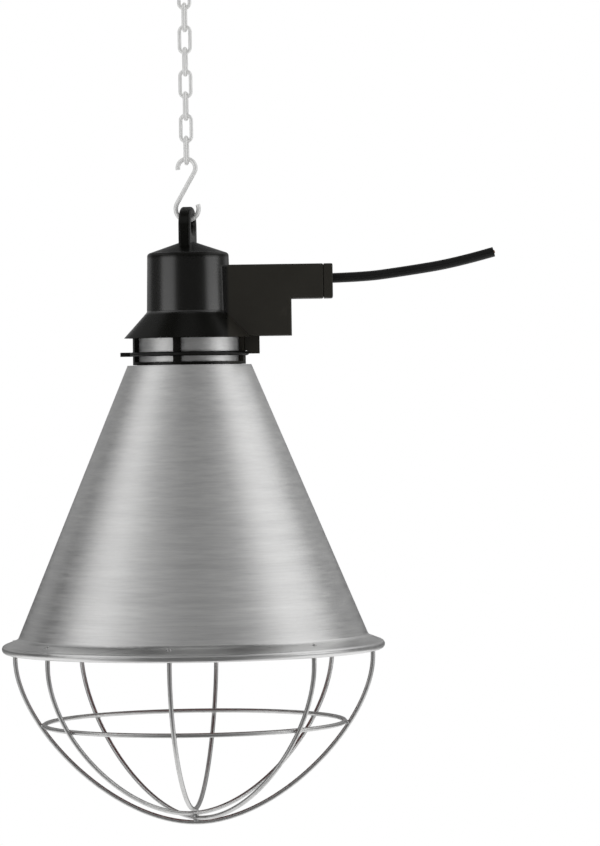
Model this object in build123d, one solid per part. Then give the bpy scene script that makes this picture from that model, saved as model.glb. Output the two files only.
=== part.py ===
"""Infrared heat lamp on its chain: moulded holder with a side terminal box, spun aluminium
reflector, wire guard and a screw-in reflector bulb. Millimetres, +Z up.
The origin is the bearing point of the top hook, on the lamp's axis. The terminal box points to +X
and the front of the lamp to -Y. Depths are measured down from the top of the holder's eye."""

import os
from math import asin, cos, degrees, radians, sin, tan

from build123d import *

# Chain and hooks
HOOK_WIRE = 3.0
HOOK_TOP_R = 9.5
HOOK_LOW_R = 6.0
HOOK_SPAN = 24.0
LINK_WIRE = 2.0
LINK_BOW_R = 3.0
LINK_PITCH = 12.4
LINK_COUNT = 8
LAMP_HOOK_WIRE = 2.5
LAMP_HOOK_TOP_R = 5.0
LAMP_HOOK_LOW_R = 6.5
LAMP_HOOK_SPAN = 22.8
CHAIN_GAP = 0.25
HANG_TURN = -10.0

# Holder: eye, roof, barrel and skirt
EYE_R = 10.6
EYE_BORE = 9.0
EYE_THICK = 6.6
EYE_BORE_ROUND = 2.5
EYE_EDGE_ROUND = 1.4
ROOF_TOP = 18.4
ROOF_EDGE = 26.2
BARREL_R = 23.4
BARREL_END = 58.8
SKIRT_R = 36.4
SKIRT_END = 73.2
HOLDER_WALL = 2.4
SHOULDER_ROUND = 2.0

# Terminal box on the holder
BOX_DEPTH = 25.0
BOX_WALL = 2.2
BOX_ROUND = 1.2
ARM_TOP = 33.0
ARM_BOTTOM = 52.2
ARM_END = 75.8
BLOCK_END = 57.6
BLOCK_BOTTOM = 72.8
CAVITY_START = 27.0
COVER_START = 38.5
COVER_THICK = 2.2
COVER_LEDGE = 1.6
FOOT_FAR = 39.4
FOOT_WIDTH = 12.0
FOOT_END = 82.6
COVER_POST_R = 2.6
COVER_POST_IN = 4.6
COVER_SCREW_LENGTH = 11.0
SLIP = 0.25
SEAT = 0.05

# Cord, its gland and grip
CORD_D = 5.5
CORD_DEPTH = 41.2
CORD_START = 56.0
GLAND_THICK = 5.0
GLAND_SPIGOT = 3.0
GRIP_LENGTH = 8.0
GRIP_THICK = 3.0
GRIP_X = 63.5
GRIP_SCREW_DEPTH = CORD_DEPTH + CORD_D / 2 + 3.2

# Terminal block and inner wires
WIRE_D = 2.2
WIRE_BEND = 2.4
CORE_Y = 1.3
TERMINAL_X = (38.9, 45.1)
TERMINAL_NEAR = 35.4
TERMINAL_TOP = 59.0
TERMINAL_Y = (-8.0, 4.0)
TERMINAL_SCREW_DEPTH = 65.4
TERMINAL_WIRE_Y = -2.6
LEAD_Y = 2.6
LEAD_START = 63.0
LEAD_RISE_X = 31.6
LEAD_DEPTH = 39.2
LEAD_LAST_X = 17.6
LEAD_SLOT = (10.0, 7.0)

# Vented collar and its wire ring
COLLAR_R = 31.6
COLLAR_WALL = 2.2
COLLAR_TOP = 71.2
COLLAR_RIM = 2.2
COLLAR_RIM_R = 21.4
COLLAR_SCREW_R = 25.0
LEG_HALF_ANGLE = 17.0
RIB_AZIMUTH = -11.0
RIB_HALF_ANGLE = 4.0
RING_DEPTH = 82.3
RING_WIRE = 2.4
RING_TAIL_R = 38.6
RING_GROOVE = 0.6

# Reflector
SHEET = 1.0
NECK_CLEAR = 0.3
NECK_LIP_R = 22.2
SHOULDER_DEPTH = 88.5
SHOULDER_R = 34.7
CONE_END = 240.8
RIM_R = 107.2
RIM_WIDTH = 9.0
RIM_DROP = 5.1
RIM_ROLL_R = 2.4
RIM_ROLL_ARC = 215.0
RIM_BEND = 3.0
CONE_END_R = RIM_R - RIM_WIDTH

# Guard
GUARD_WIRE = 2.5
LEG_INSET = 2.2
GUARD_LEG_R = CONE_END_R + LEG_INSET
GUARD_SHOULDER = 252.0
GUARD_WAIST = 290.4
GUARD_BOTTOM = 344.8
GUARD_SIDE = 37.0
GUARD_FLOOR = 47.0
GUARD_AZIMUTHS = (-92.0, 42.0, -51.0, -6.0)
WELD_GAP = 0.08
PEG_CLEAR = 0.2

# Lampholder
PORCELAIN_R = 20.2
PORCELAIN_TOP = 36.0
PORCELAIN_END = 68.4
SHELL_R = 13.9
SHELL_WALL = 0.5
SOCKET_FLOOR = 45.2
HOLDER_SCREW_R = 17.0
CONTACT_X = 9.0
CONTACT_Y = 4.2

# Bulb
CAP_TIP = 46.4
CAP_R = 13.1
CAP_LENGTH = 25.0
TIP_HEIGHT = 1.6
TIP_R = 4.8
INSULATOR_HEIGHT = 2.2
GLASS_WALL = 1.2
BULB_LENGTH = 174.0
BULB_R = 62.5
BULB_NECK_R = 19.5
BULB_BELT = 132.0
FILAMENT_R = 14.0
FILAMENT_DROP = 52.0

# Screws
SCREW_R = 1.5
SCREW_HEAD_R = 2.8
SCREW_HEAD = 1.8
SCREW_CLEAR = 0.15
GRIP_SCREW_LENGTH = 12.0
GRIP_SCREW_HOLE = 8.0
TERMINAL_SCREW_LENGTH = 7.0
CONTACT_SCREW_LENGTH = 4.0
COLLAR_SCREW_LENGTH = 7.0
HOLDER_SCREW_BITE = 4.0
HOLE_SPARE = 2.0

# Levels worked out down the chain, from the bearing point to the eye
HOOK_Z = -(HOOK_TOP_R - HOOK_WIRE / 2)
HOOK_LOW_Z = HOOK_Z - HOOK_SPAN - HOOK_LOW_R
LINK_STRAIGHT = LINK_PITCH - 2 * LINK_BOW_R + LINK_WIRE + CHAIN_GAP
LINK_HALF = LINK_STRAIGHT / 2 + LINK_BOW_R
LINK_1_Z = HOOK_LOW_Z + (HOOK_WIRE + LINK_WIRE) / 2 + CHAIN_GAP - LINK_HALF
LINK_END_Z = LINK_1_Z - (LINK_COUNT - 1) * LINK_PITCH - LINK_HALF
LAMP_HOOK_Z = LINK_END_Z + (LINK_WIRE + LAMP_HOOK_WIRE) / 2 + CHAIN_GAP - LAMP_HOOK_TOP_R
LAMP_HOOK_LOW_Z = LAMP_HOOK_Z - LAMP_HOOK_SPAN - LAMP_HOOK_LOW_R
EYE_Z = LAMP_HOOK_LOW_Z - (EYE_BORE - LAMP_HOOK_WIRE) / 2 + CHAIN_GAP
EYE_TOP = EYE_Z + EYE_R


def level(depth):
    """Height of a point that lies so far below the top of the eye."""
    return EYE_TOP - depth


def rod(path, wire):
    """Round wire along a path."""
    return sweep(Plane(path @ 0, z_dir=path % 0) * Circle(wire / 2), path=path)


def turned(*curves):
    """Solid of revolution of a closed half outline in the XZ plane."""
    outline = Wire([edge for curve in curves for edge in curve.edges()])
    return revolve(make_face(Plane.XZ * outline), Axis.Z)


def drum(radius, top, bottom):
    """Upright cylinder between two depths."""
    return Pos(0, 0, level((top + bottom) / 2)) * Cylinder(radius, bottom - top)


def tube(outer, inner, top, bottom):
    """Upright tube between two depths."""
    return drum(outer, top, bottom) - drum(inner, top - 1, bottom + 1)


def block(x, y, depth):
    """Box between two values of x, two of y and two depths."""
    size = [abs(b - a) for a, b in (x, y, depth)]
    return Pos(sum(x) / 2, sum(y) / 2, level(sum(depth) / 2)) * Box(*size)


def screw(length):
    """Cheese-head screw along -Z, with the underside of its head at the origin."""
    head = Pos(0, 0, SCREW_HEAD / 2) * Cylinder(SCREW_HEAD_R, SCREW_HEAD)
    slot = Pos(0, 0, SCREW_HEAD) * Box(2 * SCREW_HEAD_R, 0.8, 1.2)
    return head - slot + Pos(0, 0, -length / 2) * Cylinder(SCREW_R, length)


def drill(length, radius=SCREW_R):
    """Clearance hole for such a screw, or for a wire of another radius."""
    return Pos(0, 0, -length / 2) * Cylinder(radius + SCREW_CLEAR, length)


def wedge(low, high, inner, outer, top, bottom):
    """Sector between two azimuths, counted from the front towards +X."""
    reach = outer / cos(radians((high - low) / 2))
    ends = [(reach * sin(radians(a)), -reach * cos(radians(a))) for a in (low, high)]
    sector = make_face(Polyline((0, 0), *ends, close=True))
    solid = Pos(0, 0, level(bottom)) * extrude(sector, bottom - top)
    return solid - drum(inner, top - 1, bottom + 1)


# Chain

def s_hook(wire, top_r, low_r, span):
    """S-hook in the XZ plane: two loops joined by their crossed tangent, upper centre at the origin."""
    lean = degrees(asin((top_r + low_r) / span))
    upper = CenterArc((0, 0), top_r, 190, -190 - lean)
    lower = CenterArc((0, -span), low_r, 180 - lean, 200 + lean)
    return rod(Plane.XZ * Wire([upper, Line(upper @ 1, lower @ 0), lower]), wire)


def chain_link():
    """Welded oval link in the XZ plane, centred on the origin."""
    bow = CenterArc((0, LINK_STRAIGHT / 2), LINK_BOW_R, 0, 180)
    rise = Line((LINK_BOW_R, 0), bow @ 0)
    fall = Line(bow @ 1, (-LINK_BOW_R, 0))
    half = rod(Plane.XZ * Wire([rise, bow, fall]), LINK_WIRE)
    return half + Rot(0, 180, 0) * half


hang = Rot(0, 0, HANG_TURN)
across = Rot(0, 0, HANG_TURN + 90)
nodes = {}
nodes["top_hook"] = across * Pos(0, 0, HOOK_Z) * s_hook(HOOK_WIRE, HOOK_TOP_R, HOOK_LOW_R, HOOK_SPAN)
for number in range(LINK_COUNT):
    facing = hang if number % 2 == 0 else across
    place = Pos(0, 0, LINK_1_Z - number * LINK_PITCH)
    nodes[f"chain_link_{number + 1}"] = facing * place * chain_link()
nodes["lamp_hook"] = hang * Pos(0, 0, LAMP_HOOK_Z) * s_hook(
    LAMP_HOOK_WIRE, LAMP_HOOK_TOP_R, LAMP_HOOK_LOW_R, LAMP_HOOK_SPAN
)

# Holder and terminal box

RIM_Y = BOX_DEPTH / 2
COVER_Y = RIM_Y - COVER_THICK
BORE_R = BARREL_R - HOLDER_WALL
RING_R = COLLAR_R + RING_WIRE / 2 - RING_GROOVE


def arm_outline(start, inset):
    """L-shaped side view of the box, drawn in by an inset on its outer sides."""
    top = level(ARM_TOP + inset)
    step = level(ARM_BOTTOM - inset)
    floor = level(BLOCK_BOTTOM - inset)
    far = ARM_END
    near = BLOCK_END - inset
    return Polyline(
        (start, top), (far, top), (far, step), (near, step), (near, floor), (start, floor), close=True
    )


def slab(outline, y_low, y_high):
    """Side view pulled out between two values of y."""
    face = make_face(Plane.XZ * outline)
    return Pos(0, y_low, 0) * extrude(face, y_high - y_low, dir=(0, 1, 0))


def holder_shell():
    """Roof, barrel and flared skirt, hollow and open below."""
    roof = level(ROOF_TOP)
    outer = FilletPolyline(
        (0, roof), (BARREL_R - 0.6, level(ROOF_EDGE)), (BARREL_R, level(BARREL_END)),
        (SKIRT_R, level(SKIRT_END)), radius=SHOULDER_ROUND,
    )
    skirt_in = SKIRT_R - HOLDER_WALL
    bend = BARREL_END + HOLDER_WALL * 0.4
    inner = Polyline(
        (SKIRT_R, level(SKIRT_END)), (skirt_in, level(SKIRT_END)), (BORE_R, level(bend)),
        (BORE_R, level(ROOF_EDGE + HOLDER_WALL)), (0, roof - HOLDER_WALL * 1.1), (0, roof),
    )
    return turned(outer, inner)


def eye():
    """Moulded eye: an upright plate with a round top and a bore rounded for the hook."""
    foot = level(ROOF_TOP + 5.0)
    plate = make_face(Plane.YZ * Wire([
        CenterArc((0, EYE_Z), EYE_R, 0, 180),
        Line((-EYE_R, EYE_Z), (-EYE_R, foot)),
        Line((-EYE_R, foot), (EYE_R, foot)),
        Line((EYE_R, foot), (EYE_R, EYE_Z)),
    ]))
    body = extrude(plate, EYE_THICK / 2, both=True)
    body = fillet(body.edges().filter_by(GeomType.CIRCLE), EYE_EDGE_ROUND)
    body -= Pos(0, 0, EYE_Z) * Rot(0, 90, 0) * Cylinder(EYE_BORE / 2, 2 * EYE_THICK)
    rims = body.edges().filter_by(
        lambda e: e.geom_type == GeomType.CIRCLE and abs(e.radius - EYE_BORE / 2) < 0.01
    )
    return hang * fillet(rims, EYE_BORE_ROUND)


COVER_SCREWS = [
    (COVER_START + COVER_POST_IN, ARM_TOP + COVER_POST_IN),
    (ARM_END - COVER_POST_IN, ARM_BOTTOM - COVER_POST_IN),
    (BLOCK_END - COVER_POST_IN, BLOCK_BOTTOM - COVER_POST_IN),
]


def cover_screw_place(x, depth, y):
    """Axis of a cover screw, driven in from the rear."""
    return Pos(x, y, level(depth)) * Rot(-90, 0, 0)


def lead_slot(near, far):
    """Opening for the two leads between the box and the lampholder."""
    width, height = LEAD_SLOT
    return block((near, far), (-width / 2, width / 2), (LEAD_DEPTH - height / 2, LEAD_DEPTH + height / 2))


def foot():
    """Foot under the box, hollowed to the collar beside it and notched where the wire ring runs behind it."""
    stub = block((0, FOOT_FAR), (-FOOT_WIDTH / 2, FOOT_WIDTH / 2), (BLOCK_BOTTOM - 1, FOOT_END))
    stub -= Pos(0, 0, level(FOOT_END)) * Cylinder(COLLAR_R + SLIP, 2 * FOOT_END)
    return stub - Pos(0, 0, level(RING_DEPTH)) * Torus(RING_R, RING_WIRE / 2 + SLIP)


def holder():
    """Holder and terminal box in one moulding."""
    box = slab(arm_outline(BORE_R - 4, 0), -RIM_Y, RIM_Y)
    box = fillet(box.edges().filter_by(Axis.Y).group_by(Axis.X)[-1], BOX_ROUND)
    front = box.faces().sort_by(Axis.Y)[0]
    box = fillet(front.edges(), BOX_ROUND)
    box += foot()
    inside = slab(arm_outline(CAVITY_START, BOX_WALL), -RIM_Y + BOX_WALL, COVER_Y - COVER_LEDGE)
    mouth = slab(arm_outline(COVER_START + COVER_LEDGE, BOX_WALL), 0, RIM_Y + 1)
    recess = slab(arm_outline(COVER_START, BOX_WALL / 2), COVER_Y, RIM_Y + 1)
    shell = holder_shell()
    under_skirt = turned(Polyline(
        (0, level(ROOF_EDGE + HOLDER_WALL)), (BORE_R, level(ROOF_EDGE + HOLDER_WALL)),
        (BORE_R, level(BARREL_END + HOLDER_WALL * 0.4)), (SKIRT_R - HOLDER_WALL, level(SKIRT_END)),
        (0, level(SKIRT_END)), close=True,
    ))
    body = shell + (box - inside - mouth - recess - under_skirt) + eye()
    body -= lead_slot(BORE_R - 3, CAVITY_START + 1)
    for x, depth in COVER_SCREWS:
        post = Pos(0, -RIM_Y + BOX_WALL - SEAT, 0) * Pos(x, 0, level(depth)) * Rot(-90, 0, 0)
        length = COVER_Y + RIM_Y - BOX_WALL
        body += post * Pos(0, 0, length / 2) * Cylinder(COVER_POST_R, length)
        body -= cover_screw_place(x, depth, COVER_Y) * drill(COVER_SCREW_LENGTH + HOLE_SPARE / 2)
    body += block((GRIP_X - GRIP_LENGTH / 2, GRIP_X + GRIP_LENGTH / 2), (-RIM_Y + 1, -CORD_D / 2 - SEAT),
                  (ARM_TOP + 1, ARM_BOTTOM - 1))
    body -= Pos(GRIP_X, 0, level(GRIP_SCREW_DEPTH)) * Rot(-90, 0, 0) * drill(GRIP_SCREW_HOLE)
    for y in (-HOLDER_SCREW_R, HOLDER_SCREW_R):
        body += Pos(0, y, 0) * drum(3.2, ROOF_EDGE - 0.5, PORCELAIN_TOP - SEAT)
        body -= Pos(0, y, level(PORCELAIN_TOP)) * Rot(180, 0, 0) * drill(HOLDER_SCREW_BITE + HOLE_SPARE)
    for y in (-COLLAR_SCREW_R, COLLAR_SCREW_R):
        boss = Pos(0, y, 0) * drum(3.0, BARREL_END + 1, COLLAR_TOP - SEAT)
        body += boss & (under_skirt + shell)
        body -= Pos(0, y, level(COLLAR_TOP)) * Rot(180, 0, 0) * drill(COLLAR_SCREW_LENGTH - HOLE_SPARE)
    return body


nodes["holder"] = holder()


def box_cover():
    """Rear cover of the terminal box, let into its recess and countersunk for its screws."""
    plate = slab(arm_outline(COVER_START + SLIP, BOX_WALL / 2 + SLIP), COVER_Y + SEAT, RIM_Y)
    plate -= block((ARM_END - SLIP, ARM_END + 1), (0, RIM_Y + 1), (ARM_TOP, ARM_BOTTOM))
    for x, depth in COVER_SCREWS:
        plate -= cover_screw_place(x, depth, RIM_Y) * Pos(0, 0, SLIP) * drill(COVER_SCREW_LENGTH)
    return plate


nodes["box_cover"] = box_cover()
nodes["cover_screws"] = Compound(
    [cover_screw_place(x, depth, RIM_Y + SEAT) * screw(COVER_SCREW_LENGTH) for x, depth in COVER_SCREWS]
)


def cord_gland():
    """Collar that closes the arm, with a spigot inside the arm and a bore for the cord."""
    y = RIM_Y - BOX_WALL - SLIP
    plate = block((ARM_END + SEAT, ARM_END + GLAND_THICK), (-RIM_Y, RIM_Y), (ARM_TOP, ARM_BOTTOM))
    plate = fillet(plate.edges().filter_by(Axis.X), BOX_ROUND)
    plate = fillet(plate.faces().sort_by(Axis.X)[-1].edges(), 0.8)
    depths = (ARM_TOP + BOX_WALL + SLIP, ARM_BOTTOM - BOX_WALL - SLIP)
    plate += block((ARM_END - GLAND_SPIGOT, ARM_END + 1), (-y, COVER_Y - COVER_LEDGE - SLIP), depths)
    for x, depth in COVER_SCREWS:
        plate -= cover_screw_place(x, depth, 0) * Cylinder(COVER_POST_R + SLIP, BOX_DEPTH)
    bore = Pos(ARM_END, 0, level(CORD_DEPTH)) * Rot(0, 90, 0) * Cylinder(CORD_D / 2 + SEAT, 4 * GLAND_THICK)
    return plate - bore


nodes["cord_gland"] = cord_gland()


def cord_grip():
    """Bar that clamps the cord against the rib of the box, with a groove for the cord."""
    x = (GRIP_X - GRIP_LENGTH / 2, GRIP_X + GRIP_LENGTH / 2)
    y = CORD_D / 4
    bar = block(x, (y, y + GRIP_THICK + CORD_D / 4), (ARM_TOP + BOX_WALL + 0.6, GRIP_SCREW_DEPTH + 2.6))
    bar -= Pos(GRIP_X, 0, level(CORD_DEPTH)) * Rot(0, 90, 0) * Cylinder(CORD_D / 2 + SEAT, 2 * GRIP_LENGTH)
    return bar - GRIP_SCREW_PLACE * Pos(0, 0, SLIP) * drill(GRIP_SCREW_LENGTH)


GRIP_BACK = CORD_D / 2 + GRIP_THICK
GRIP_SCREW_PLACE = Pos(GRIP_X, GRIP_BACK + SEAT, level(GRIP_SCREW_DEPTH)) * Rot(-90, 0, 0)
nodes["cord_grip"] = cord_grip()
nodes["grip_screw"] = GRIP_SCREW_PLACE * screw(GRIP_SCREW_LENGTH)

# Cord: straight out of the gland, then a slow rise to its plain cut end
CORD_ROUTE = [(CORD_START, CORD_DEPTH), (94.0, CORD_DEPTH), (122.0, 37.7), (150.0, 33.4), (171.2, 27.6)]


def cord():
    """Two-core lead along straight runs joined by tangent arcs."""
    points = [Vector(x, 0, level(depth)) for x, depth in CORD_ROUTE]
    runs = [b - a for a, b in zip(points, points[1:])]
    radii = []
    for before, after in zip(runs, runs[1:]):
        half_turn = radians(before.get_angle(after)) / 2
        radii.append(0.45 * min(before.length, after.length) / tan(half_turn))
    path = FilletPolyline(*points, radius=radii)
    solid = rod(path, CORD_D)
    print("cord bends", [round(r) for r in radii], "length", round(path.length, 1))
    print("cord volume ratio", round(solid.volume / (path.length * 3.14159 * CORD_D**2 / 4), 4))
    return solid


nodes["cord"] = cord()

# Terminal block and inner wires
LEAD_TOP = PORCELAIN_TOP - SCREW_HEAD - WIRE_D / 2 - 2 * SEAT


def terminal_block():
    """Insulating block on the floor of the box with two screw terminals, open to the rear."""
    floor = BLOCK_BOTTOM - BOX_WALL - SEAT
    middle = sum(TERMINAL_X) / 2
    body = block((TERMINAL_NEAR, 2 * middle - TERMINAL_NEAR), TERMINAL_Y, (TERMINAL_TOP, floor))
    body -= block((middle - 0.5, middle + 0.5), (0, 5), (TERMINAL_TOP - 1, floor + 1))
    for x in TERMINAL_X:
        body -= Pos(x, TERMINAL_Y[1], level(TERMINAL_SCREW_DEPTH)) * Rot(-90, 0, 0) * drill(
            TERMINAL_SCREW_LENGTH + HOLE_SPARE
        )
        body -= Pos(x, TERMINAL_WIRE_Y, level(TERMINAL_TOP)) * drill(4, radius=WIRE_D / 2)
    return body


nodes["terminal_block"] = terminal_block()
nodes["terminal_screws"] = Compound([
    Pos(x, TERMINAL_Y[1] + SEAT, level(TERMINAL_SCREW_DEPTH)) * Rot(-90, 0, 0) * screw(TERMINAL_SCREW_LENGTH)
    for x in TERMINAL_X
])


def wire_run(*points):
    """Insulated inner wire along a bent route of (x, y, depth)."""
    path = FilletPolyline(*[(x, y, level(depth)) for x, y, depth in points], radius=WIRE_BEND)
    return rod(path, WIRE_D)


def core(x, y):
    """Core of the cord, from its stripped end down into a terminal."""
    return wire_run((CORD_START - SEAT, y, CORD_DEPTH), (CORD_START - 4, y, CORD_DEPTH),
                    (x, TERMINAL_WIRE_Y, CORD_DEPTH + 10), (x, TERMINAL_WIRE_Y, TERMINAL_TOP + 3.5))


nodes["core_live"] = core(TERMINAL_X[1], -CORE_Y)
nodes["core_neutral"] = core(TERMINAL_X[0], CORE_Y)


def lead(side):
    """Lead from the terminal block up to a contact on top of the lampholder."""
    y = side * LEAD_Y
    return wire_run((TERMINAL_NEAR - SEAT, y, LEAD_START), (LEAD_RISE_X, y, LEAD_START),
                    (LEAD_RISE_X, y, LEAD_DEPTH), (LEAD_LAST_X, y, LEAD_DEPTH),
                    (LEAD_LAST_X, y, LEAD_TOP), (CONTACT_X, side * CONTACT_Y, LEAD_TOP))


nodes["lead_live"] = lead(-1)
nodes["lead_neutral"] = lead(1)

# Vented collar between the holder and the reflector
COLLAR_IN = COLLAR_R - COLLAR_WALL
VENT_TOP = COLLAR_TOP + COLLAR_RIM
NECK_TOP = VENT_TOP + SEAT


def collar():
    """Collar with two broad legs, a rib in each opening and a groove for the wire ring."""
    body = tube(COLLAR_R, COLLAR_IN, COLLAR_TOP, SHOULDER_DEPTH - SLIP)
    body += tube(COLLAR_R, COLLAR_RIM_R, COLLAR_TOP, COLLAR_TOP + COLLAR_RIM)
    gap = 90 - LEG_HALF_ANGLE
    for turn in (0, 180):
        for low, high in ((-gap, RIB_AZIMUTH - RIB_HALF_ANGLE), (RIB_AZIMUTH + RIB_HALF_ANGLE, gap)):
            vent = wedge(low, high, COLLAR_RIM_R, COLLAR_R + 1, VENT_TOP, SHOULDER_DEPTH - 1.8)
            body -= Rot(0, 0, turn) * vent
    groove = Pos(0, 0, level(RING_DEPTH)) * Torus(RING_R, RING_WIRE / 2 + SEAT)
    body -= groove
    for y in (-COLLAR_SCREW_R, COLLAR_SCREW_R):
        body -= Pos(0, y, level(COLLAR_TOP - SLIP)) * drill(COLLAR_RIM + 2 * SLIP)
    return body


nodes["collar"] = collar()
nodes["collar_screws"] = Compound([
    Pos(0, y, level(NECK_TOP + SHEET + SEAT)) * Rot(180, 0, 0) * screw(COLLAR_SCREW_LENGTH)
    for y in (-COLLAR_SCREW_R, COLLAR_SCREW_R)
])


def retaining_ring():
    """Open spring ring of round wire around the collar, with one end bent outwards at the left."""
    ring = rod(Pos(0, 0, level(RING_DEPTH)) * CenterArc((0, 0), RING_R, 180, 346), RING_WIRE)
    tail = Pos(-(RING_R + RING_TAIL_R) / 2, 0, level(RING_DEPTH)) * Rot(0, 90, 0) * Cylinder(
        RING_WIRE / 2, RING_TAIL_R - RING_R
    )
    corner = Pos(-RING_R, 0, level(RING_DEPTH)) * Sphere(RING_WIRE / 2)
    return ring + tail + corner


nodes["retaining_ring"] = retaining_ring()

# Reflector
NECK_R = COLLAR_IN - NECK_CLEAR


# Rim: the flange falls from the end of the cone to a small rolled edge
ROLL_CENTRE = Vector(RIM_R - RIM_ROLL_R, level(CONE_END + RIM_DROP))
TO_ROLL = ROLL_CENTRE - Vector(CONE_END_R, level(CONE_END))
FLANGE_FALL = degrees(asin(-TO_ROLL.Y / TO_ROLL.length) - asin(RIM_ROLL_R / TO_ROLL.length))
PEG_TOP = CONE_END + LEG_INSET * tan(radians(FLANGE_FALL))


def inner_corner(corner, before, after):
    """Inner corner of the sheet where its outside turns from one direction into another."""
    first, second = (Vector(way.Y, -way.X) for way in (before.normalized(), after.normalized()))
    return corner + (first + second) * (SHEET / (1 + first.dot(second)))


def reflector():
    """Spun reflector: turned-in neck, shoulder, straight cone, sloping flange and rolled edge."""
    shoulder = Vector(SHOULDER_R, level(SHOULDER_DEPTH))
    cone_end = Vector(CONE_END_R, level(CONE_END))
    flange = Vector(1, 0).rotate(Axis.Z, -FLANGE_FALL)
    cone_in = inner_corner(cone_end, cone_end - shoulder, flange)
    roll_start = 90 - FLANGE_FALL
    roll_out = CenterArc(ROLL_CENTRE, RIM_ROLL_R, roll_start, -RIM_ROLL_ARC)
    roll_in = CenterArc(ROLL_CENTRE, RIM_ROLL_R - SHEET, roll_start - RIM_ROLL_ARC, RIM_ROLL_ARC)
    outside = Polyline(
        (NECK_LIP_R, level(NECK_TOP)), (NECK_R, level(NECK_TOP)), (NECK_R, level(SHOULDER_DEPTH)),
        shoulder, cone_end, roll_out @ 0,
    )
    inside = Polyline(
        roll_in @ 1, cone_in, inner_corner(shoulder, Vector(1, 0), cone_end - shoulder),
        (NECK_R - SHEET, level(SHOULDER_DEPTH + SHEET)), (NECK_R - SHEET, level(NECK_TOP + SHEET)),
        (NECK_LIP_R, level(NECK_TOP + SHEET)), (NECK_LIP_R, level(NECK_TOP)),
    )
    body = turned(outside, roll_out, Line(roll_out @ 1, roll_in @ 0), roll_in, inside)
    for radius, bend in ((CONE_END_R, RIM_BEND), (cone_in.X, RIM_BEND + SHEET)):
        edge = body.edges().filter_by(lambda e: e.geom_type == GeomType.CIRCLE and abs(e.radius - radius) < 0.01)
        body = fillet(edge, bend)
    for azimuth in GUARD_AZIMUTHS:
        for turn in (0, 180):
            peg = Pos(GUARD_LEG_R, 0, level(PEG_TOP)) * Cylinder(GUARD_WIRE / 2 + PEG_CLEAR, 6 * SHEET)
            body -= Rot(0, 0, azimuth - 90 + turn) * peg
    for y in (-COLLAR_SCREW_R, COLLAR_SCREW_R):
        body -= Pos(0, y, level(NECK_TOP - SLIP)) * drill(SHEET + 2 * SLIP)
    return body


nodes["reflector"] = reflector()

# Guard


def hoop_curve(layer):
    """Right half of a hoop, from its leg to the foot, where each layer passes one wire higher."""
    rise = layer * (GUARD_WIRE + WELD_GAP)
    foot = level(GUARD_BOTTOM - rise)
    return Bezier(
        (GUARD_LEG_R, level(GUARD_SHOULDER)), (GUARD_LEG_R, level(GUARD_SHOULDER + GUARD_SIDE + rise / 2)),
        (GUARD_FLOOR, foot), (0, foot),
    )


def hoop(layer, azimuth):
    """Hoop over the whole guard, its two ends pegged through the rim."""
    curve = hoop_curve(layer)
    leg = Line((GUARD_LEG_R, level(PEG_TOP)), curve @ 0)
    right = rod(Plane.XZ * Wire([leg, curve]), GUARD_WIRE)
    return Rot(0, 0, azimuth - 90) * (right + mirror(right, about=Plane.YZ))


def guard_ring():
    """Level ring welded to the inside of the hoops at their waist."""
    curve = hoop_curve(0)
    waist = curve.find_intersection_points(Axis((0, level(GUARD_WAIST), 0), (1, 0, 0)))[0]
    along = curve.tangent_at(curve.param_at_point(waist))
    reach = GUARD_WIRE + WELD_GAP
    radius = waist.X - reach * abs(along.Y)
    height = waist.Y + reach * abs(along.X)
    return Pos(0, 0, height) * Torus(radius, GUARD_WIRE / 2)


for layer, azimuth in enumerate(GUARD_AZIMUTHS):
    nodes[f"guard_wire_{layer + 1}"] = hoop(layer, azimuth)
nodes["guard_ring"] = guard_ring()

# Lampholder


def lampholder():
    """Porcelain body with its socket bore, a wire channel and two long screw holes."""
    body = drum(PORCELAIN_R, PORCELAIN_TOP, PORCELAIN_END)
    body = fillet(body.edges().filter_by(GeomType.CIRCLE), 1.0)
    body -= drum(SHELL_R + SEAT, SOCKET_FLOOR, PORCELAIN_END + 1)
    body -= lead_slot(LEAD_LAST_X - WIRE_BEND, PORCELAIN_R + 1)
    for y in (-HOLDER_SCREW_R, HOLDER_SCREW_R):
        body -= Pos(0, y, level(PORCELAIN_TOP - 1)) * drill(PORCELAIN_END - PORCELAIN_TOP + HOLE_SPARE)
    for y in (-CONTACT_Y, CONTACT_Y):
        body -= Pos(CONTACT_X, y, level(PORCELAIN_TOP - 1)) * drill(CONTACT_SCREW_LENGTH + HOLE_SPARE)
    return body


nodes["lampholder"] = lampholder()
nodes["holder_screws"] = Compound([
    Pos(0, y, level(PORCELAIN_END + SEAT)) * Rot(180, 0, 0) * screw(
        PORCELAIN_END - PORCELAIN_TOP + HOLDER_SCREW_BITE
    )
    for y in (-HOLDER_SCREW_R, HOLDER_SCREW_R)
])
nodes["contact_screws"] = Compound(
    [Pos(CONTACT_X, y, level(PORCELAIN_TOP - SEAT)) * screw(CONTACT_SCREW_LENGTH) for y in (-CONTACT_Y, CONTACT_Y)]
)
nodes["screw_shell"] = tube(SHELL_R, SHELL_R - SHELL_WALL, SOCKET_FLOOR + 1.4, PORCELAIN_END - 1)


def centre_contact():
    """Sprung brass tongue on the floor of the socket."""
    strip = block((-11.0, -2.0), (-2.6, 2.6), (SOCKET_FLOOR + SEAT, SOCKET_FLOOR + 0.55))
    return strip + block((-2.5, 5.0), (-2.6, 2.6), (SOCKET_FLOOR + SEAT + 0.3, SOCKET_FLOOR + 0.85))


nodes["centre_contact"] = centre_contact()

# Bulb
CAP_END = CAP_TIP + TIP_HEIGHT + INSULATOR_HEIGHT + CAP_LENGTH
FACE = CAP_TIP + BULB_LENGTH
BELT = CAP_TIP + BULB_BELT


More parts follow.
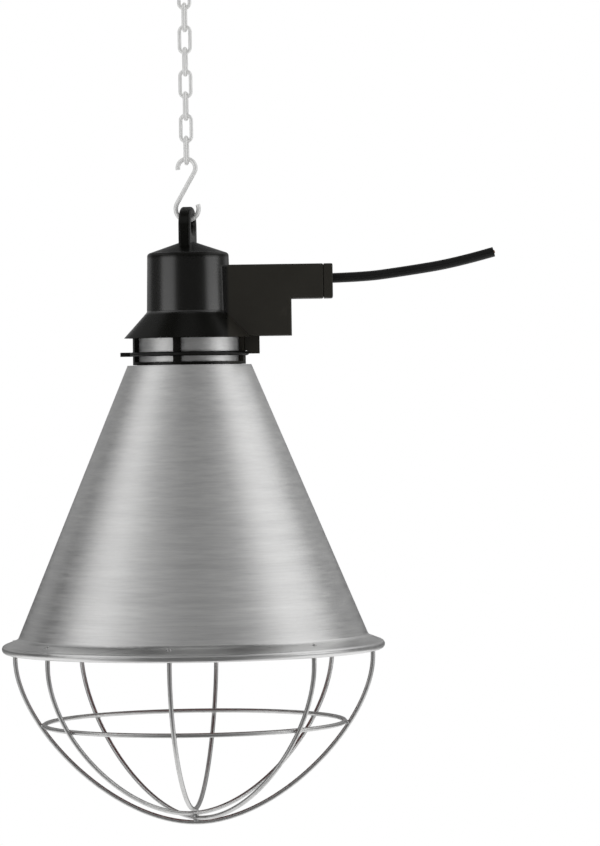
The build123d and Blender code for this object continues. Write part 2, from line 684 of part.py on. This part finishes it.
def bulb_outline(inset):
    """Half outline of the envelope: neck, flared body and domed face."""
    start = (CAP_R + 2.2 - inset, level(CAP_END - 3 + inset))
    body = Spline(
        start, (BULB_NECK_R - inset, level(CAP_END + 16)), (BULB_NECK_R + 8 - inset, level(CAP_END + 38)),
        (BULB_R - 13 - inset, level(BELT - 28)), (BULB_R - inset, level(BELT)),
        tangents=((0.2, -1), (0, -1)),
    )
    face = Spline(
        body @ 1, (BULB_R - 8 - inset, level(BELT + 25 - inset)), (BULB_R / 2, level(FACE - 3.6 - inset)),
        (0, level(FACE - inset)), tangents=((0, -1), (-1, 0)),
    )
    close = Polyline(face @ 1, (0, start[1]), start)
    return body, face, close


def bulb_glass():
    """Blown envelope whose neck seats over the cap."""
    hollow = turned(*bulb_outline(GLASS_WALL))
    throat = drum(CAP_R + SEAT, CAP_END - 4, CAP_END)
    return turned(*bulb_outline(0)) - hollow - throat


nodes["bulb_glass"] = bulb_glass()
cap_top = CAP_TIP + TIP_HEIGHT + INSULATOR_HEIGHT
nodes["bulb_cap"] = tube(CAP_R, CAP_R - 0.6, cap_top, CAP_END) + tube(CAP_R, 9.5, cap_top, cap_top + 1)
nodes["bulb_insulator"] = turned(Polyline(
    (TIP_R + SEAT, level(CAP_TIP + TIP_HEIGHT)), (7.0, level(CAP_TIP + TIP_HEIGHT)),
    (9.4, level(cap_top)), (9.4, level(cap_top + 1)), (TIP_R + SEAT, level(cap_top + 1)), close=True,
))
nodes["bulb_tip"] = fillet(
    drum(TIP_R, CAP_TIP, cap_top).edges().group_by(Axis.Z)[-1], TIP_HEIGHT * 0.6
)


def bulb_stem():
    """Glass stem that carries the filament, sealed into the neck."""
    return drum(4.0, CAP_END - 2, CAP_END + 30) + tube(CAP_R - 0.7, 3.5, CAP_END - 2, CAP_END)


def filament():
    """Bowed filament on two support wires."""
    z = level(CAP_END + FILAMENT_DROP)
    bow = rod(Pos(0, 0, z) * CenterArc((0, 0), FILAMENT_R, -90, 300), 1.2)
    ends = [(FILAMENT_R * cos(radians(a)), FILAMENT_R * sin(radians(a))) for a in (-90, 210)]
    stays = [rod(Line((x * 0.14, y * 0.14, level(CAP_END + 28)), (x, y, z)), 1.0) for x, y in ends]
    return bow + stays


nodes["bulb_stem"] = bulb_stem()
nodes["filament"] = filament()
nodes["bulb_stem"] -= nodes["filament"]

os.makedirs("parts", exist_ok=True)
for name, solid in nodes.items():
    export_step(solid, f"parts/{name}.step")
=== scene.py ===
"""Looks of the hanging heat lamp: its finishes, the details that ride on it, and the studio around it."""

from math import cos, pi, radians, sin

import bpy
from mathutils import Matrix, Vector


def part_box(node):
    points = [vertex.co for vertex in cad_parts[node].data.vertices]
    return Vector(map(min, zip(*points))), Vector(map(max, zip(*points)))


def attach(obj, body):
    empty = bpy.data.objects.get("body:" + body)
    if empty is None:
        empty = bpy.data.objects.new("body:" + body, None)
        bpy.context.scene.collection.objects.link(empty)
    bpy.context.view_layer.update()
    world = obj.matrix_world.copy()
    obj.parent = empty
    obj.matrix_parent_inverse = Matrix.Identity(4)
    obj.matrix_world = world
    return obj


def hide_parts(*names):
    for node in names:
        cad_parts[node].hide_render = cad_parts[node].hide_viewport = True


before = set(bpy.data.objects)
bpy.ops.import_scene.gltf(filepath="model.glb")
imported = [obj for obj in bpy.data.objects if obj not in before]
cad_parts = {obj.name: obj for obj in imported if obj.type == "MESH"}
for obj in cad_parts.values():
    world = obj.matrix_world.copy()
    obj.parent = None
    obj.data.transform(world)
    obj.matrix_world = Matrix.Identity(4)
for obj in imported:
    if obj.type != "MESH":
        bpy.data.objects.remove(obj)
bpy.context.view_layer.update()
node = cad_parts

# Places on the lamp: the eye's top in metres, then depths below it in millimetres
EYE_TOP = -0.1609
ROOF_EDGE = 27.5
SKIRT_TOP = 60.3
CONE_TOP = 90
CONE_MIDDLE = 140
SILVER_EDGE = 186

# Where the terminal box begins beside the barrel, in metres from the lamp's axis
BOX_START = 0.0215


def level(depth):
    """Height of a point so many millimetres below the top of the holder's eye."""
    return EYE_TOP - depth / 1000


class Value:
    """A socket that takes part in Python expressions; every operation adds one Math node to its tree."""

    def __init__(self, socket):
        self.socket = socket

    def math(self, operation, *terms):
        made = self.socket.id_data.nodes.new("ShaderNodeMath")
        made.operation = operation
        for place, term in zip(made.inputs, terms):
            plug(place, term)
        return Value(made.outputs[0])

    def __add__(self, other):
        return self.math("ADD", self, other)

    def __radd__(self, other):
        return self.math("ADD", other, self)

    def __sub__(self, other):
        return self.math("SUBTRACT", self, other)

    def __rsub__(self, other):
        return self.math("SUBTRACT", other, self)

    def __mul__(self, other):
        return self.math("MULTIPLY", self, other)

    def __rmul__(self, other):
        return self.math("MULTIPLY", other, self)

    def larger(self, other):
        return self.math("MAXIMUM", self, other)


def plug(socket, value):
    """Links a value into a socket, or sets the socket's own number, colour or vector."""
    if isinstance(value, Value):
        socket.id_data.links.new(value.socket, socket)
    elif isinstance(value, tuple) and socket.type == "RGBA":
        socket.default_value = (*value, 1)
    else:
        socket.default_value = value


class Finish:
    """The node tree of a material or of the world."""

    def __init__(self, owner):
        owner.use_nodes = True
        self.owner = owner
        self.tree = owner.node_tree
        self.tree.nodes.clear()

    def add(self, kind, settings=None, sockets=None, out=0):
        """Any node: its settings first, then the values or links of its sockets."""
        made = self.tree.nodes.new("ShaderNode" + kind)
        for name, value in (settings or {}).items():
            if name == "stops":
                for stop, (position, shade) in zip(made.color_ramp.elements, value):
                    stop.position = position
                    stop.color = (shade, shade, shade, 1)
            else:
                setattr(made, name, value)
        for name, value in (sockets or {}).items():
            plug(made.inputs[name], value)
        return Value(made.outputs[out]) if made.outputs else None

    def place(self):
        """Position on the object, in metres."""
        return self.add("TexCoord", out="Object")

    def axes(self, vector):
        """The three parts of a vector."""
        split = self.add("SeparateXYZ", sockets={"Vector": vector}).socket.node
        return [Value(part) for part in split.outputs]

    def vector(self, operation, first, second=None):
        """One Vector Math step."""
        sockets = {0: first} if second is None else {0: first, 1: second}
        return self.add("VectorMath", {"operation": operation}, sockets)

    def noise(self, scale, detail=3.0, vector=None, rough=0.5):
        """Cloudy values from 0 to 1."""
        where = vector or self.place()
        sockets = {"Vector": where, "Scale": scale, "Detail": detail, "Roughness": rough}
        return self.add("TexNoise", sockets=sockets)

    def tint(self, factor, first, second):
        """Colour between two colours."""
        return self.add("Mix", {"data_type": "RGBA"}, {0: factor, 6: first, 7: second}, out=2)

    def ramp(self, value, start, end):
        """0 up to the start and 1 from the end on."""
        return self.add("ValToRGB", {"stops": ((start, 0), (end, 1))}, {"Fac": value})

    def past(self, distance, over=0.0015):
        """0 before a line and 1 well past it, from the distance past it in metres."""
        return self.ramp(distance * (1 / over), 0.0, 1.0)

    def bump(self, height, strength, distance):
        """Fine relief of the surface."""
        return self.add("Bump", sockets={"Height": height, "Strength": strength, "Distance": distance})

    def show(self, shader, kind="Material"):
        """Closes the tree with a shader."""
        self.add("Output" + kind, sockets={"Surface": shader})
        return self.owner

    def surface(self, **settings):
        """Closes the tree with the main shader; names use underscores for the spaces of its sockets."""
        sockets = {name.replace("_", " "): value for name, value in settings.items()}
        return self.show(self.add("BsdfPrincipled", sockets=sockets))


def new_finish(name):
    return Finish(bpy.data.materials.new(name))


def around(f, turn, rise):
    """Coordinates slow around the lamp's axis and fast along it, for marks left by spinning."""
    x, y, z = f.axes(f.place())
    flat = f.add("CombineXYZ", sockets={"X": x, "Y": y})
    heading = f.vector("MULTIPLY", f.vector("NORMALIZE", flat), (turn, turn, 0))
    return f.vector("ADD", heading, f.add("CombineXYZ", sockets={"Z": z * rise}))


def spun_aluminium():
    """Sheet spun over a former and brushed: fine rings, streaks and dull clouds; the neck is rougher, and its
    colour is a little darker as painted shade under the skirt.
    """
    f = new_finish("spun_aluminium")
    fine = f.noise(1.0, 4.0, around(f, 2.5, 1500), 0.6)
    bands = f.ramp(f.noise(1.0, 2.0, around(f, 1.2, 210)), 0.3, 0.7)
    streaks = f.ramp(f.noise(1.0, 4.0, around(f, 4.5, 640), 0.6), 0.34, 0.68)
    clouds = f.noise(16.0, 4.0)
    height = f.axes(f.place())[2]
    # Neck band under the holder's skirt: rougher, and a little darker in colour as painted shade of the skirt
    neck_shade_and_dull = f.past(height - level(CONE_TOP))
    near_rim = f.past(level(CONE_MIDDLE) - height, 0.095)
    tone = fine * 0.2 + bands * 0.25 + streaks * 0.4 + clouds * 0.15
    colour = f.tint(tone, (0.60, 0.60, 0.60), (0.88, 0.88, 0.87))
    return f.surface(
        # Darkening of the neck's colour is painted shade under the skirt
        Base_Color=f.tint(neck_shade_and_dull * 0.06, colour, (0.16, 0.16, 0.15)), Metallic=1.0,
        Roughness=0.25 + fine * 0.08 + clouds * 0.08 + streaks * 0.1 + neck_shade_and_dull * 0.1 - near_rim * 0.04,
        Normal=f.bump(fine * 0.6 + bands * 0.4, 0.3, 0.0003),
    )


def black_moulding(name, grain=900.0):
    """Black plastic with a little dust: polished on the barrel, dull and greyer on the box beside it."""
    f = new_finish(name)
    skin = f.noise(grain, 3.0)
    handled = f.noise(26.0, 4.0)
    dust = f.ramp(f.noise(140.0, 6.0, rough=0.7), 0.58, 0.8)
    x, _, z = f.axes(f.place())
    box = f.past(x - BOX_START)
    above_skirt = f.past(z - level(SKIRT_TOP))
    below_roof = f.past(level(ROOF_EDGE) - z)
    worn = handled * 0.5 + dust * 0.35
    barrel_black = f.tint(worn, (0.0022, 0.0022, 0.0013), (0.010, 0.010, 0.0082))
    box_black = f.tint(worn, (0.0205, 0.0187, 0.0145), (0.043, 0.0398, 0.0320))
    return f.surface(
        Base_Color=f.tint(box, barrel_black, box_black),
        Roughness=0.20 + skin * 0.06 + handled * 0.09 + box * 0.14, Specular_IOR_Level=0.22,
        Coat_Weight=above_skirt * below_roof * (1 - box), Coat_Roughness=0.26, Coat_IOR=1.68,
        Normal=f.bump(skin, 0.12, 0.0002),
    )


def plated_wire(name, dark, light, rough, metal=1.0):
    """Drawn wire under zinc: fine spangle, dull spots and a soft shine."""
    f = new_finish(name)
    spangle = f.noise(420.0, 3.0)
    spots = f.ramp(f.noise(120.0, 5.0, rough=0.65), 0.5, 0.74)
    return f.surface(
        Base_Color=f.tint(spangle * 0.7 + spots * 0.3, light, dark), Metallic=metal,
        Roughness=rough + spangle * 0.12 + spots * 0.12, Normal=f.bump(spangle, 0.1, 0.0002),
    )


def turned_metal(name, dark, light, rough=0.28):
    """Brass or steel of small turned and pressed pieces, a little tarnished."""
    f = new_finish(name)
    tarnish = f.noise(260.0, 5.0, rough=0.6)
    lines = f.noise(1600.0, 2.0)
    return f.surface(
        Base_Color=f.tint(tarnish, light, dark), Metallic=1.0, Roughness=rough + tarnish * 0.2,
        Normal=f.bump(lines, 0.08, 0.0001),
    )


def porcelain():
    """White glaze, slightly wavy, with a few iron specks."""
    f = new_finish("porcelain_glaze")
    speck = f.ramp(f.noise(900.0, 2.0), 0.70, 0.76)
    wave = f.noise(90.0, 2.0)
    glaze = f.tint(wave, (0.80, 0.78, 0.72), (0.88, 0.86, 0.81))
    return f.surface(
        Base_Color=f.tint(speck, glaze, (0.42, 0.33, 0.24)), Roughness=0.12 + wave * 0.08,
        Coat_Weight=0.4, Normal=f.bump(wave, 0.06, 0.0005),
    )


def sleeve(name, dark, light):
    """Insulation of a single wire, with a dull extruded skin."""
    f = new_finish(name)
    streak = f.noise(350.0, 3.0)
    return f.surface(
        Base_Color=f.tint(streak, dark, light), Roughness=0.42 + streak * 0.15,
        Normal=f.bump(streak, 0.08, 0.0001),
    )


def ruby_bulb():
    """Reflector bulb: silvered flank and ruby-lacquered face, with a slightly uneven edge between them."""
    f = new_finish("ruby_bulb_glass")
    height = f.axes(f.place())[2]
    uneven = f.noise(55.0, 3.0) * 0.0025
    silver = f.ramp((height + uneven - level(SILVER_EDGE)) * 60 + 0.5, 0.42, 0.58)
    mottle = f.noise(38.0, 4.0)
    face = f.tint(mottle, (0.15, 0.003, 0.0025), (0.24, 0.006, 0.004))
    flank = f.tint(mottle, (0.72, 0.70, 0.68), (0.86, 0.85, 0.83))
    return f.surface(
        Base_Color=f.tint(silver, face, flank), Metallic=silver * 0.95, Roughness=0.08 + mottle * 0.1,
        Specular_IOR_Level=0.2, Coat_Weight=0.06, Normal=f.bump(f.noise(70.0, 2.0), 0.05, 0.0006),
    )


def plain_glass(name, colour, clear):
    """Drawn glass of the small inner pieces."""
    f = new_finish(name)
    drawn = f.noise(300.0, 2.0)
    return f.surface(
        Base_Color=f.tint(drawn, colour, tuple(0.9 * c for c in colour)), Roughness=0.05 + drawn * 0.05,
        Transmission_Weight=clear, IOR=1.5, Normal=f.bump(drawn, 0.04, 0.0003),
    )


def jacket():
    """Rubbery cord jacket with a fine skin and rubbed patches."""
    f = new_finish("cord_jacket")
    skin = f.noise(700.0, 3.0)
    rub = f.noise(60.0, 4.0)
    return f.surface(
        Base_Color=f.tint(rub, (0.003, 0.003, 0.0027), (0.011, 0.011, 0.0105)),
        Roughness=0.34 + rub * 0.16, Specular_IOR_Level=0.3, Normal=f.bump(skin, 0.15, 0.0002),
    )


def dress(material, *names):
    """Gives CAD nodes their finish."""
    for name in names:
        node[name].data.materials.clear()
        node[name].data.materials.append(material)


chain_zinc = plated_wire("chain_zinc", (0.88, 0.88, 0.87), (0.98, 0.98, 0.97), 0.38, 0.4)
guard_zinc = plated_wire("guard_zinc", (0.48, 0.48, 0.48), (0.70, 0.70, 0.69), 0.30)
spring_wire = plated_wire("ring_spring_wire", (0.015, 0.015, 0.015), (0.045, 0.045, 0.044), 0.34)
moulding = black_moulding("holder_moulding")
trim_moulding = black_moulding("gland_and_cover_moulding", 1200.0)
brass = turned_metal("contact_brass", (0.42, 0.27, 0.09), (0.78, 0.58, 0.24))
screw_steel = turned_metal("screw_steel", (0.36, 0.36, 0.36), (0.66, 0.66, 0.65))
solder = turned_metal("tip_solder", (0.42, 0.42, 0.42), (0.66, 0.66, 0.65), 0.36)
cap_sheet = turned_metal("cap_sheet", (0.55, 0.55, 0.54), (0.78, 0.78, 0.76), 0.24)
tungsten = turned_metal("tungsten", (0.10, 0.10, 0.10), (0.24, 0.24, 0.24), 0.4)
copper = turned_metal("copper_strand", (0.45, 0.18, 0.08), (0.80, 0.38, 0.20), 0.3)
brown = sleeve("brown_core", (0.10, 0.045, 0.02), (0.19, 0.085, 0.04))
blue = sleeve("blue_core", (0.02, 0.07, 0.26), (0.04, 0.13, 0.40))

dress(chain_zinc, "top_hook", "lamp_hook", *[f"chain_link_{n}" for n in range(1, 9)])
dress(guard_zinc, "guard_wire_1", "guard_wire_2", "guard_wire_3", "guard_wire_4", "guard_ring")
dress(spring_wire, "retaining_ring")
dress(moulding, "holder", "collar")
dress(trim_moulding, "box_cover", "cord_gland", "cord_grip")
dress(spun_aluminium(), "reflector")
dress(screw_steel, "cover_screws", "grip_screw", "collar_screws", "holder_screws")
dress(brass, "terminal_screws", "contact_screws", "screw_shell", "centre_contact")
dress(sleeve("terminal_cream", (0.62, 0.58, 0.47), (0.78, 0.74, 0.62)), "terminal_block")
dress(brown, "core_live")
dress(blue, "core_neutral")
dress(sleeve("heatproof_sleeve", (0.70, 0.68, 0.60), (0.84, 0.82, 0.76)), "lead_live", "lead_neutral")
dress(porcelain(), "lampholder")
dress(ruby_bulb(), "bulb_glass")
dress(cap_sheet, "bulb_cap")
dress(plain_glass("cap_black_glass", (0.012, 0.012, 0.016), 0.0), "bulb_insulator")
dress(solder, "bulb_tip")
dress(plain_glass("stem_glass", (0.92, 0.94, 0.94), 0.85), "bulb_stem")
dress(tungsten, "filament")


def piece(name, data, material, body):
    """Adds one piece of the lamp to the scene and lets it ride on a body."""
    made = bpy.data.objects.new(name, data)
    bpy.context.scene.collection.objects.link(made)
    data.materials.append(material)
    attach(made, body)
    return made


def skin_faces(rows, count, closed=True):
    """Faces between rows of so many points; a closed row joins its last point to its first."""
    faces = []
    for n in range(rows - 1):
        for k in range(count if closed else count - 1):
            after = (k + 1) % count
            faces.append((n * count + k, n * count + after, (n + 1) * count + after, (n + 1) * count + k))
    return faces


def smooth_mesh(name, points, faces):
    mesh = bpy.data.meshes.new(name)
    mesh.from_pydata(points, [], faces)
    mesh.update()
    mesh.shade_smooth()
    return mesh


def ringed(name, rows):
    """Mesh tube from rings of points, each ring closed and joined to the next."""
    return smooth_mesh(name, [p for row in rows for p in row], skin_faces(len(rows), len(rows[0])))


# Cord: straight out of the gland, then the slow rise to its plain cut end; places and depths in millimetres
CORD_D = 0.0055
CORD_ROUTE = [(56.0, 41.2), (94.0, 41.2), (122.0, 37.7), (150.0, 33.4), (171.2, 27.6)]
CORE_OFFSET = 0.0012
SLEEVE_R, SLEEVE_STUB = 0.0010, 0.0004
STRAND_R, STRAND_STUB = 0.0006, 0.0006


def route_point(n):
    """One point of the cord's route, in metres."""
    x, depth = CORD_ROUTE[n]
    return Vector((x / 1000, 0, level(depth)))


def cord_line():
    """Smooth line of the cord through its route."""
    line = bpy.data.curves.new("cord_line", "CURVE")
    line.dimensions = "3D"
    run = line.splines.new("NURBS")
    run.points.add(len(CORD_ROUTE) - 1)
    for n, point in enumerate(run.points):
        point.co = (*route_point(n), 1)
    run.order_u = 3
    run.use_endpoint_u = True
    run.resolution_u = 24
    line.bevel_depth = CORD_D / 2
    line.bevel_resolution = 8
    line.use_fill_caps = True
    return line


def core_end(name, side, wire, stub, material):
    """Cut end of one core, standing a hair proud of the jacket."""
    tip = route_point(-1)
    along = (tip - route_point(-2)).normalized()
    across = Vector((0, 1, 0))
    up = along.cross(across)
    centre = tip + across * side
    angles = [2 * pi * k / 20 for k in range(20)]
    rows = []
    for reach, share in ((-0.002, 1), (stub * 0.8, 1), (stub, 0.86), (stub, 0.02)):
        rows.append([centre + along * reach + (across * cos(a) + up * sin(a)) * wire * share for a in angles])
    return piece(name, ringed(name, rows), material, "lamp")


cord = piece("cord_lead", cord_line(), jacket(), "lamp")
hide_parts("cord")
ends = [
    core_end("cord_end_brown", -CORE_OFFSET, SLEEVE_R, SLEEVE_STUB, brown),
    core_end("cord_end_blue", CORE_OFFSET, SLEEVE_R, SLEEVE_STUB, blue),
    core_end("cord_end_live_copper", -CORE_OFFSET, STRAND_R, STRAND_STUB, copper),
    core_end("cord_end_neutral_copper", CORE_OFFSET, STRAND_R, STRAND_STUB, copper),
]
level(41.2)


# Rolled screw threads of the cap and the shell, in millimetres
PITCH = 3.62
THREAD_DEPTH = 0.95
SHEET = 0.4
LEAD_IN = 2.5
STEPS_AROUND = 96
RINGS_A_TURN = 14


def threaded(name, radius, top, bottom, turned_in=None):
    """Thin sleeve with a rounded right-hand thread; lead-in and lead-out stay plain."""
    count = int((bottom - top) / (PITCH / RINGS_A_TURN))

    def ring(depth, inset):
        fade = min(1, max(0, (depth - top) / LEAD_IN), max(0, (bottom - depth) / LEAD_IN))
        points = []
        for k in range(STEPS_AROUND):
            angle = 2 * pi * k / STEPS_AROUND
            wave = 0.5 - 0.5 * cos(2 * pi * -depth / PITCH - angle)
            r = (radius - THREAD_DEPTH * fade * wave - inset) / 1000
            points.append((r * cos(angle), r * sin(angle), level(depth)))
        return points

    depths = [top + (bottom - top) * n / count for n in range(count + 1)]
    rows = [ring(depth, 0) for depth in depths]
    rows += [ring(depth, SHEET) for depth in reversed(depths)]
    if turned_in:
        share = turned_in / radius
        rows += [[(x * share, y * share, level(depth)) for x, y, _ in ring(top, 0)]
                 for depth in (top + SHEET, top)]
    return ringed(name, [*rows, rows[0]])


cap_thread = piece("bulb_cap_thread", threaded("bulb_cap_thread", 13.1, 50.2, 75.2, turned_in=9.6),
                   cap_sheet, "bulb")
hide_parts("bulb_cap")
shell_thread = piece("screw_shell_thread", threaded("screw_shell_thread", 13.9, 46.6, 67.4),
                     brass, "lamp")
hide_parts("screw_shell")


# Weld beads of the guard: directions of its hoops, and half sizes of the beads in metres
HOOP_AZIMUTHS = (-92, 42, -51, -6)
HOOP_LEAN = 34
WIRE_R = 0.00125
LAYER = 0.00258
RING_BEAD = (0.0021, 0.0016, 0.0013)
RING_BEAD_OUT, RING_BEAD_DROP = 0.0011, 0.0007
FOOT_BEAD = (0.0015, 0.0015, 0.0018)
BEAD_RINGS, BEAD_STEPS = 6, 10


def bead(centre, radii, turn, seed):
    """Points of one small uneven weld bead, in rings from its foot to its top."""
    points = []
    for i in range(BEAD_RINGS, -1, -1):
        polar = pi * i / BEAD_RINGS
        for k in range(BEAD_STEPS):
            angle = 2 * pi * k / BEAD_STEPS
            swell = 1 + 0.10 * sin(3 * angle + seed) * sin(2 * polar + seed * 1.7)
            local = Vector((radii[0] * sin(polar) * cos(angle), radii[1] * sin(polar) * sin(angle),
                            radii[2] * cos(polar)))
            points.append(turn @ (local * swell) + centre)
    return points


def guard_welds():
    """Beads where the ring meets the hoops and where the hoops cross at the foot."""
    low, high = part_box("guard_ring")
    ring_r = (high.x - low.x) / 2 - WIRE_R
    ring_z = (high.z + low.z) / 2
    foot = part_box("guard_wire_1")[0].z
    lean = Matrix.Rotation(radians(HOOP_LEAN), 3, "Y")
    joint = Vector((ring_r + RING_BEAD_OUT, 0, ring_z - RING_BEAD_DROP))
    places = []
    for azimuth in HOOP_AZIMUTHS:
        for half in (0, 180):
            turn = Matrix.Rotation(radians(azimuth + half - 90), 3, "Z")
            places.append((turn @ joint, RING_BEAD, turn @ lean))
    for layer in range(3):
        turn = Matrix.Rotation(radians(HOOP_AZIMUTHS[layer]), 3, "Z")
        places.append((Vector((0, 0, foot + 2 * WIRE_R + LAYER * layer)), FOOT_BEAD, turn))
    points, faces = [], []
    for seed, (centre, radii, turn) in enumerate(places):
        sides = skin_faces(BEAD_RINGS + 1, BEAD_STEPS)
        faces += [tuple(index + len(points) for index in side) for side in sides]
        points += bead(centre, radii, turn, seed)
    return smooth_mesh("guard_welds", points, faces)


piece("guard_welds", guard_welds(), guard_zinc, "guard")


# Stage: pale floor, white surround, two soft strip lights and curved dull screens for the metal
MIDDLE = Vector((0, 0, -0.30))
DIM_WORLD = 0.66
FLOOR_Z = -0.75
FLOOR_HALF = 20
FLOOR_LIFT = 0.42
WHITE_FROM, WHITE_AT = 0.9, 1.8
STRIP_SIZE = (1.25, 0.8)
STRIP_ELEVATION = -2
STRIP_DISTANCE = 1.9
SCREEN_DISTANCE = 2.6
SCREEN_ACROSS, SCREEN_UP = 32, 10


def surround_light(f):
    """1 for rays that should see the plain white surround."""
    path = f.add("LightPath").socket.node
    camera, glossy, through = (Value(path.outputs[name]) for name in
                               ("Is Camera Ray", "Is Glossy Ray", "Is Transmission Ray"))
    return camera.larger(glossy).larger(through)


def white_world():
    """White where it is seen, and a dim even light on everything else."""
    world = bpy.data.worlds.new("white_surround")
    bpy.context.scene.world = world
    f = Finish(world)
    dim = f.add("Background", sockets={"Color": (1, 1, 1), "Strength": DIM_WORLD})
    white = f.add("Background", sockets={"Color": (1, 1, 1), "Strength": 1.0})
    f.show(f.add("MixShader", sockets={0: surround_light(f), 1: dim, 2: white}), "World")


def stage_sheet(name, points, faces, material):
    """A sheet of the studio, which isn't part of the lamp."""
    mesh = bpy.data.meshes.new(name)
    mesh.from_pydata(points, [], faces)
    mesh.materials.append(material)
    made = bpy.data.objects.new(name, mesh)
    bpy.context.scene.collection.objects.link(made)
    return made


def floor():
    """Pale floor that takes the lamp's shadow, runs out to white and is clear from below."""
    f = new_finish("pale_floor")
    matt = f.add("BsdfDiffuse", sockets={"Color": (0.9, 0.9, 0.9)})
    lift = f.add("Emission", sockets={"Color": (1, 1, 1), "Strength": FLOOR_LIFT})
    white = f.add("Emission", sockets={"Color": (1, 1, 1), "Strength": 1.0})
    reach = f.add("VectorMath", {"operation": "LENGTH"}, {0: f.place()}, out="Value")
    far = f.add("MapRange", {"interpolation_type": "SMOOTHSTEP"},
                {"Value": reach, "From Min": WHITE_FROM, "From Max": WHITE_AT})
    lifted = f.add("AddShader", sockets={0: matt, 1: lift})
    seen = f.add("MixShader", sockets={0: far, 1: lifted, 2: white})
    pale = f.add("MixShader", sockets={0: surround_light(f), 1: matt, 2: seen})
    below = f.add("NewGeometry", out="Backfacing")
    f.show(f.add("MixShader", sockets={0: below, 1: pale, 2: f.add("BsdfTransparent")}))
    corners = [(FLOOR_HALF * x, FLOOR_HALF * y, 0) for x, y in ((-1, -1), (1, -1), (1, 1), (-1, 1))]
    made = stage_sheet("floor", corners, [(0, 1, 2, 3)], f.owner)
    made.location.z = FLOOR_Z


def towards(azimuth, elevation, distance):
    """Point around the lamp; azimuth 0 is the photographer's side, positive to the right."""
    a, e = radians(azimuth), radians(elevation)
    return MIDDLE + distance * Vector((sin(a) * cos(e), -cos(a) * cos(e), sin(e)))


def strip_light(name, azimuth, power):
    """Wide soft light that faces the lamp."""
    light = bpy.data.lights.new(name, "AREA")
    light.shape = "RECTANGLE"
    light.size, light.size_y = STRIP_SIZE
    light.energy = power
    made = bpy.data.objects.new(name, light)
    made.location = towards(azimuth, STRIP_ELEVATION, STRIP_DISTANCE)
    made.rotation_euler = (MIDDLE - made.location).to_track_quat("-Z", "Y").to_euler()
    bpy.context.scene.collection.objects.link(made)


def screen(name, azimuths, elevations, distance, shade):
    """Curved dull screen that only shiny surfaces see, as a photographer sets it beside metal work."""
    f = new_finish(name)
    f.show(f.add("Emission", sockets={"Color": (shade, shade, shade), "Strength": 1.0}))
    points = []
    for i in range(SCREEN_UP + 1):
        elevation = elevations[0] + (elevations[1] - elevations[0]) * i / SCREEN_UP
        for k in range(SCREEN_ACROSS + 1):
            azimuth = azimuths[0] + (azimuths[1] - azimuths[0]) * k / SCREEN_ACROSS
            points.append(towards(azimuth, elevation, distance))
    faces = skin_faces(SCREEN_UP + 1, SCREEN_ACROSS + 1, closed=False)
    made = stage_sheet(name, points, faces, f.owner)
    for ray in ("visible_camera", "visible_diffuse", "visible_transmission", "visible_shadow"):
        setattr(made, ray, False)


# Screens: elevation from and to, distance, then azimuth from, azimuth to and shade of each
SCREENS = {
    "under": ((-75, -9), 0.44, ((-60, -35, 0.45), (-35, 35, 0.16), (35, 60, 0.40))),
    "foot": ((-25, -9), 1.0, ((60, 300, 0.26),)),
    "low": ((-9, 20), SCREEN_DISTANCE, ((-125, -80, 0.08), (-35, 52, 0.025), (99, 125, 0.10))),
    "strip_cap": ((6, 20), 1.6, ((-80, -35, 0.45), (52, 99, 0.45))),
    "edge_low": ((-9, 4), SCREEN_DISTANCE, ((-180, -125, 0.10), (125, 180, 0.14))),
    "edge_high": ((4, 20), SCREEN_DISTANCE, ((-180, -125, 0.36), (125, 180, 0.36))),
    "high": ((20, 58), SCREEN_DISTANCE, (
        (-150, -130, 0.22), (-130, -110, 0.36), (-110, -95, 0.54), (-95, -60, 1.0), (-60, -45, 0.68),
        (-45, -30, 0.49), (-30, -12, 0.41), (-12, 20, 0.32), (20, 45, 0.36), (45, 56, 0.48),
        (56, 66, 0.72), (66, 116, 1.08), (116, 128, 0.82), (128, 150, 0.54),
    )),
    "back_low": ((20, 33), SCREEN_DISTANCE, ((150, 210, 0.14),)),
    "back_mid": ((33, 52), SCREEN_DISTANCE, ((150, 168, 0.90), (168, 192, 0.10), (192, 210, 0.90))),
    "back_high": ((52, 70), SCREEN_DISTANCE, ((150, 210, 0.85),)),
    "top": ((58, 78), SCREEN_DISTANCE, ((-150, 150, 0.05),)),
    "top_back": ((70, 78), SCREEN_DISTANCE, ((150, 210, 0.40),)),
    "crown": ((78, 90), SCREEN_DISTANCE, ((-180, 180, 0.36),)),
}

white_world()
floor()
strip_light("strip_light_left", -57, 2.4)
strip_light("strip_light_right", 75, 3.2)
for row, (elevations, distance, shades) in SCREENS.items():
    for number, (start, end, shade) in enumerate(shades):
        screen(f"screen_{row}_{number}", (start, end), elevations, distance, shade)


# Camera: nearly level, a little right of the lamp, turned a hair as the photograph is
PIXEL = 0.56e-3
PICTURE_HEIGHT = 846
SENSOR = 36
CAMERA_DISTANCE = 2.28
CAMERA_X, CAMERA_Z = 0.0614, -0.2606
TARGET_Z = -0.2828
ROLL = -0.83


def camera():
    lens = bpy.data.cameras.new("camera")
    lens.sensor_width = SENSOR
    lens.lens = SENSOR * CAMERA_DISTANCE / (PICTURE_HEIGHT * PIXEL)
    made = bpy.data.objects.new("camera", lens)
    bpy.context.scene.collection.objects.link(made)
    made.location = (CAMERA_X, -CAMERA_DISTANCE, CAMERA_Z)
    aim = (Vector((CAMERA_X, 0, TARGET_Z)) - made.location).to_track_quat("-Z", "Y").to_matrix()
    made.rotation_euler = (aim @ Matrix.Rotation(radians(ROLL), 3, "Z")).to_euler()
    bpy.context.scene.camera = made


camera()
bpy.context.scene.view_settings.view_transform = "Standard"
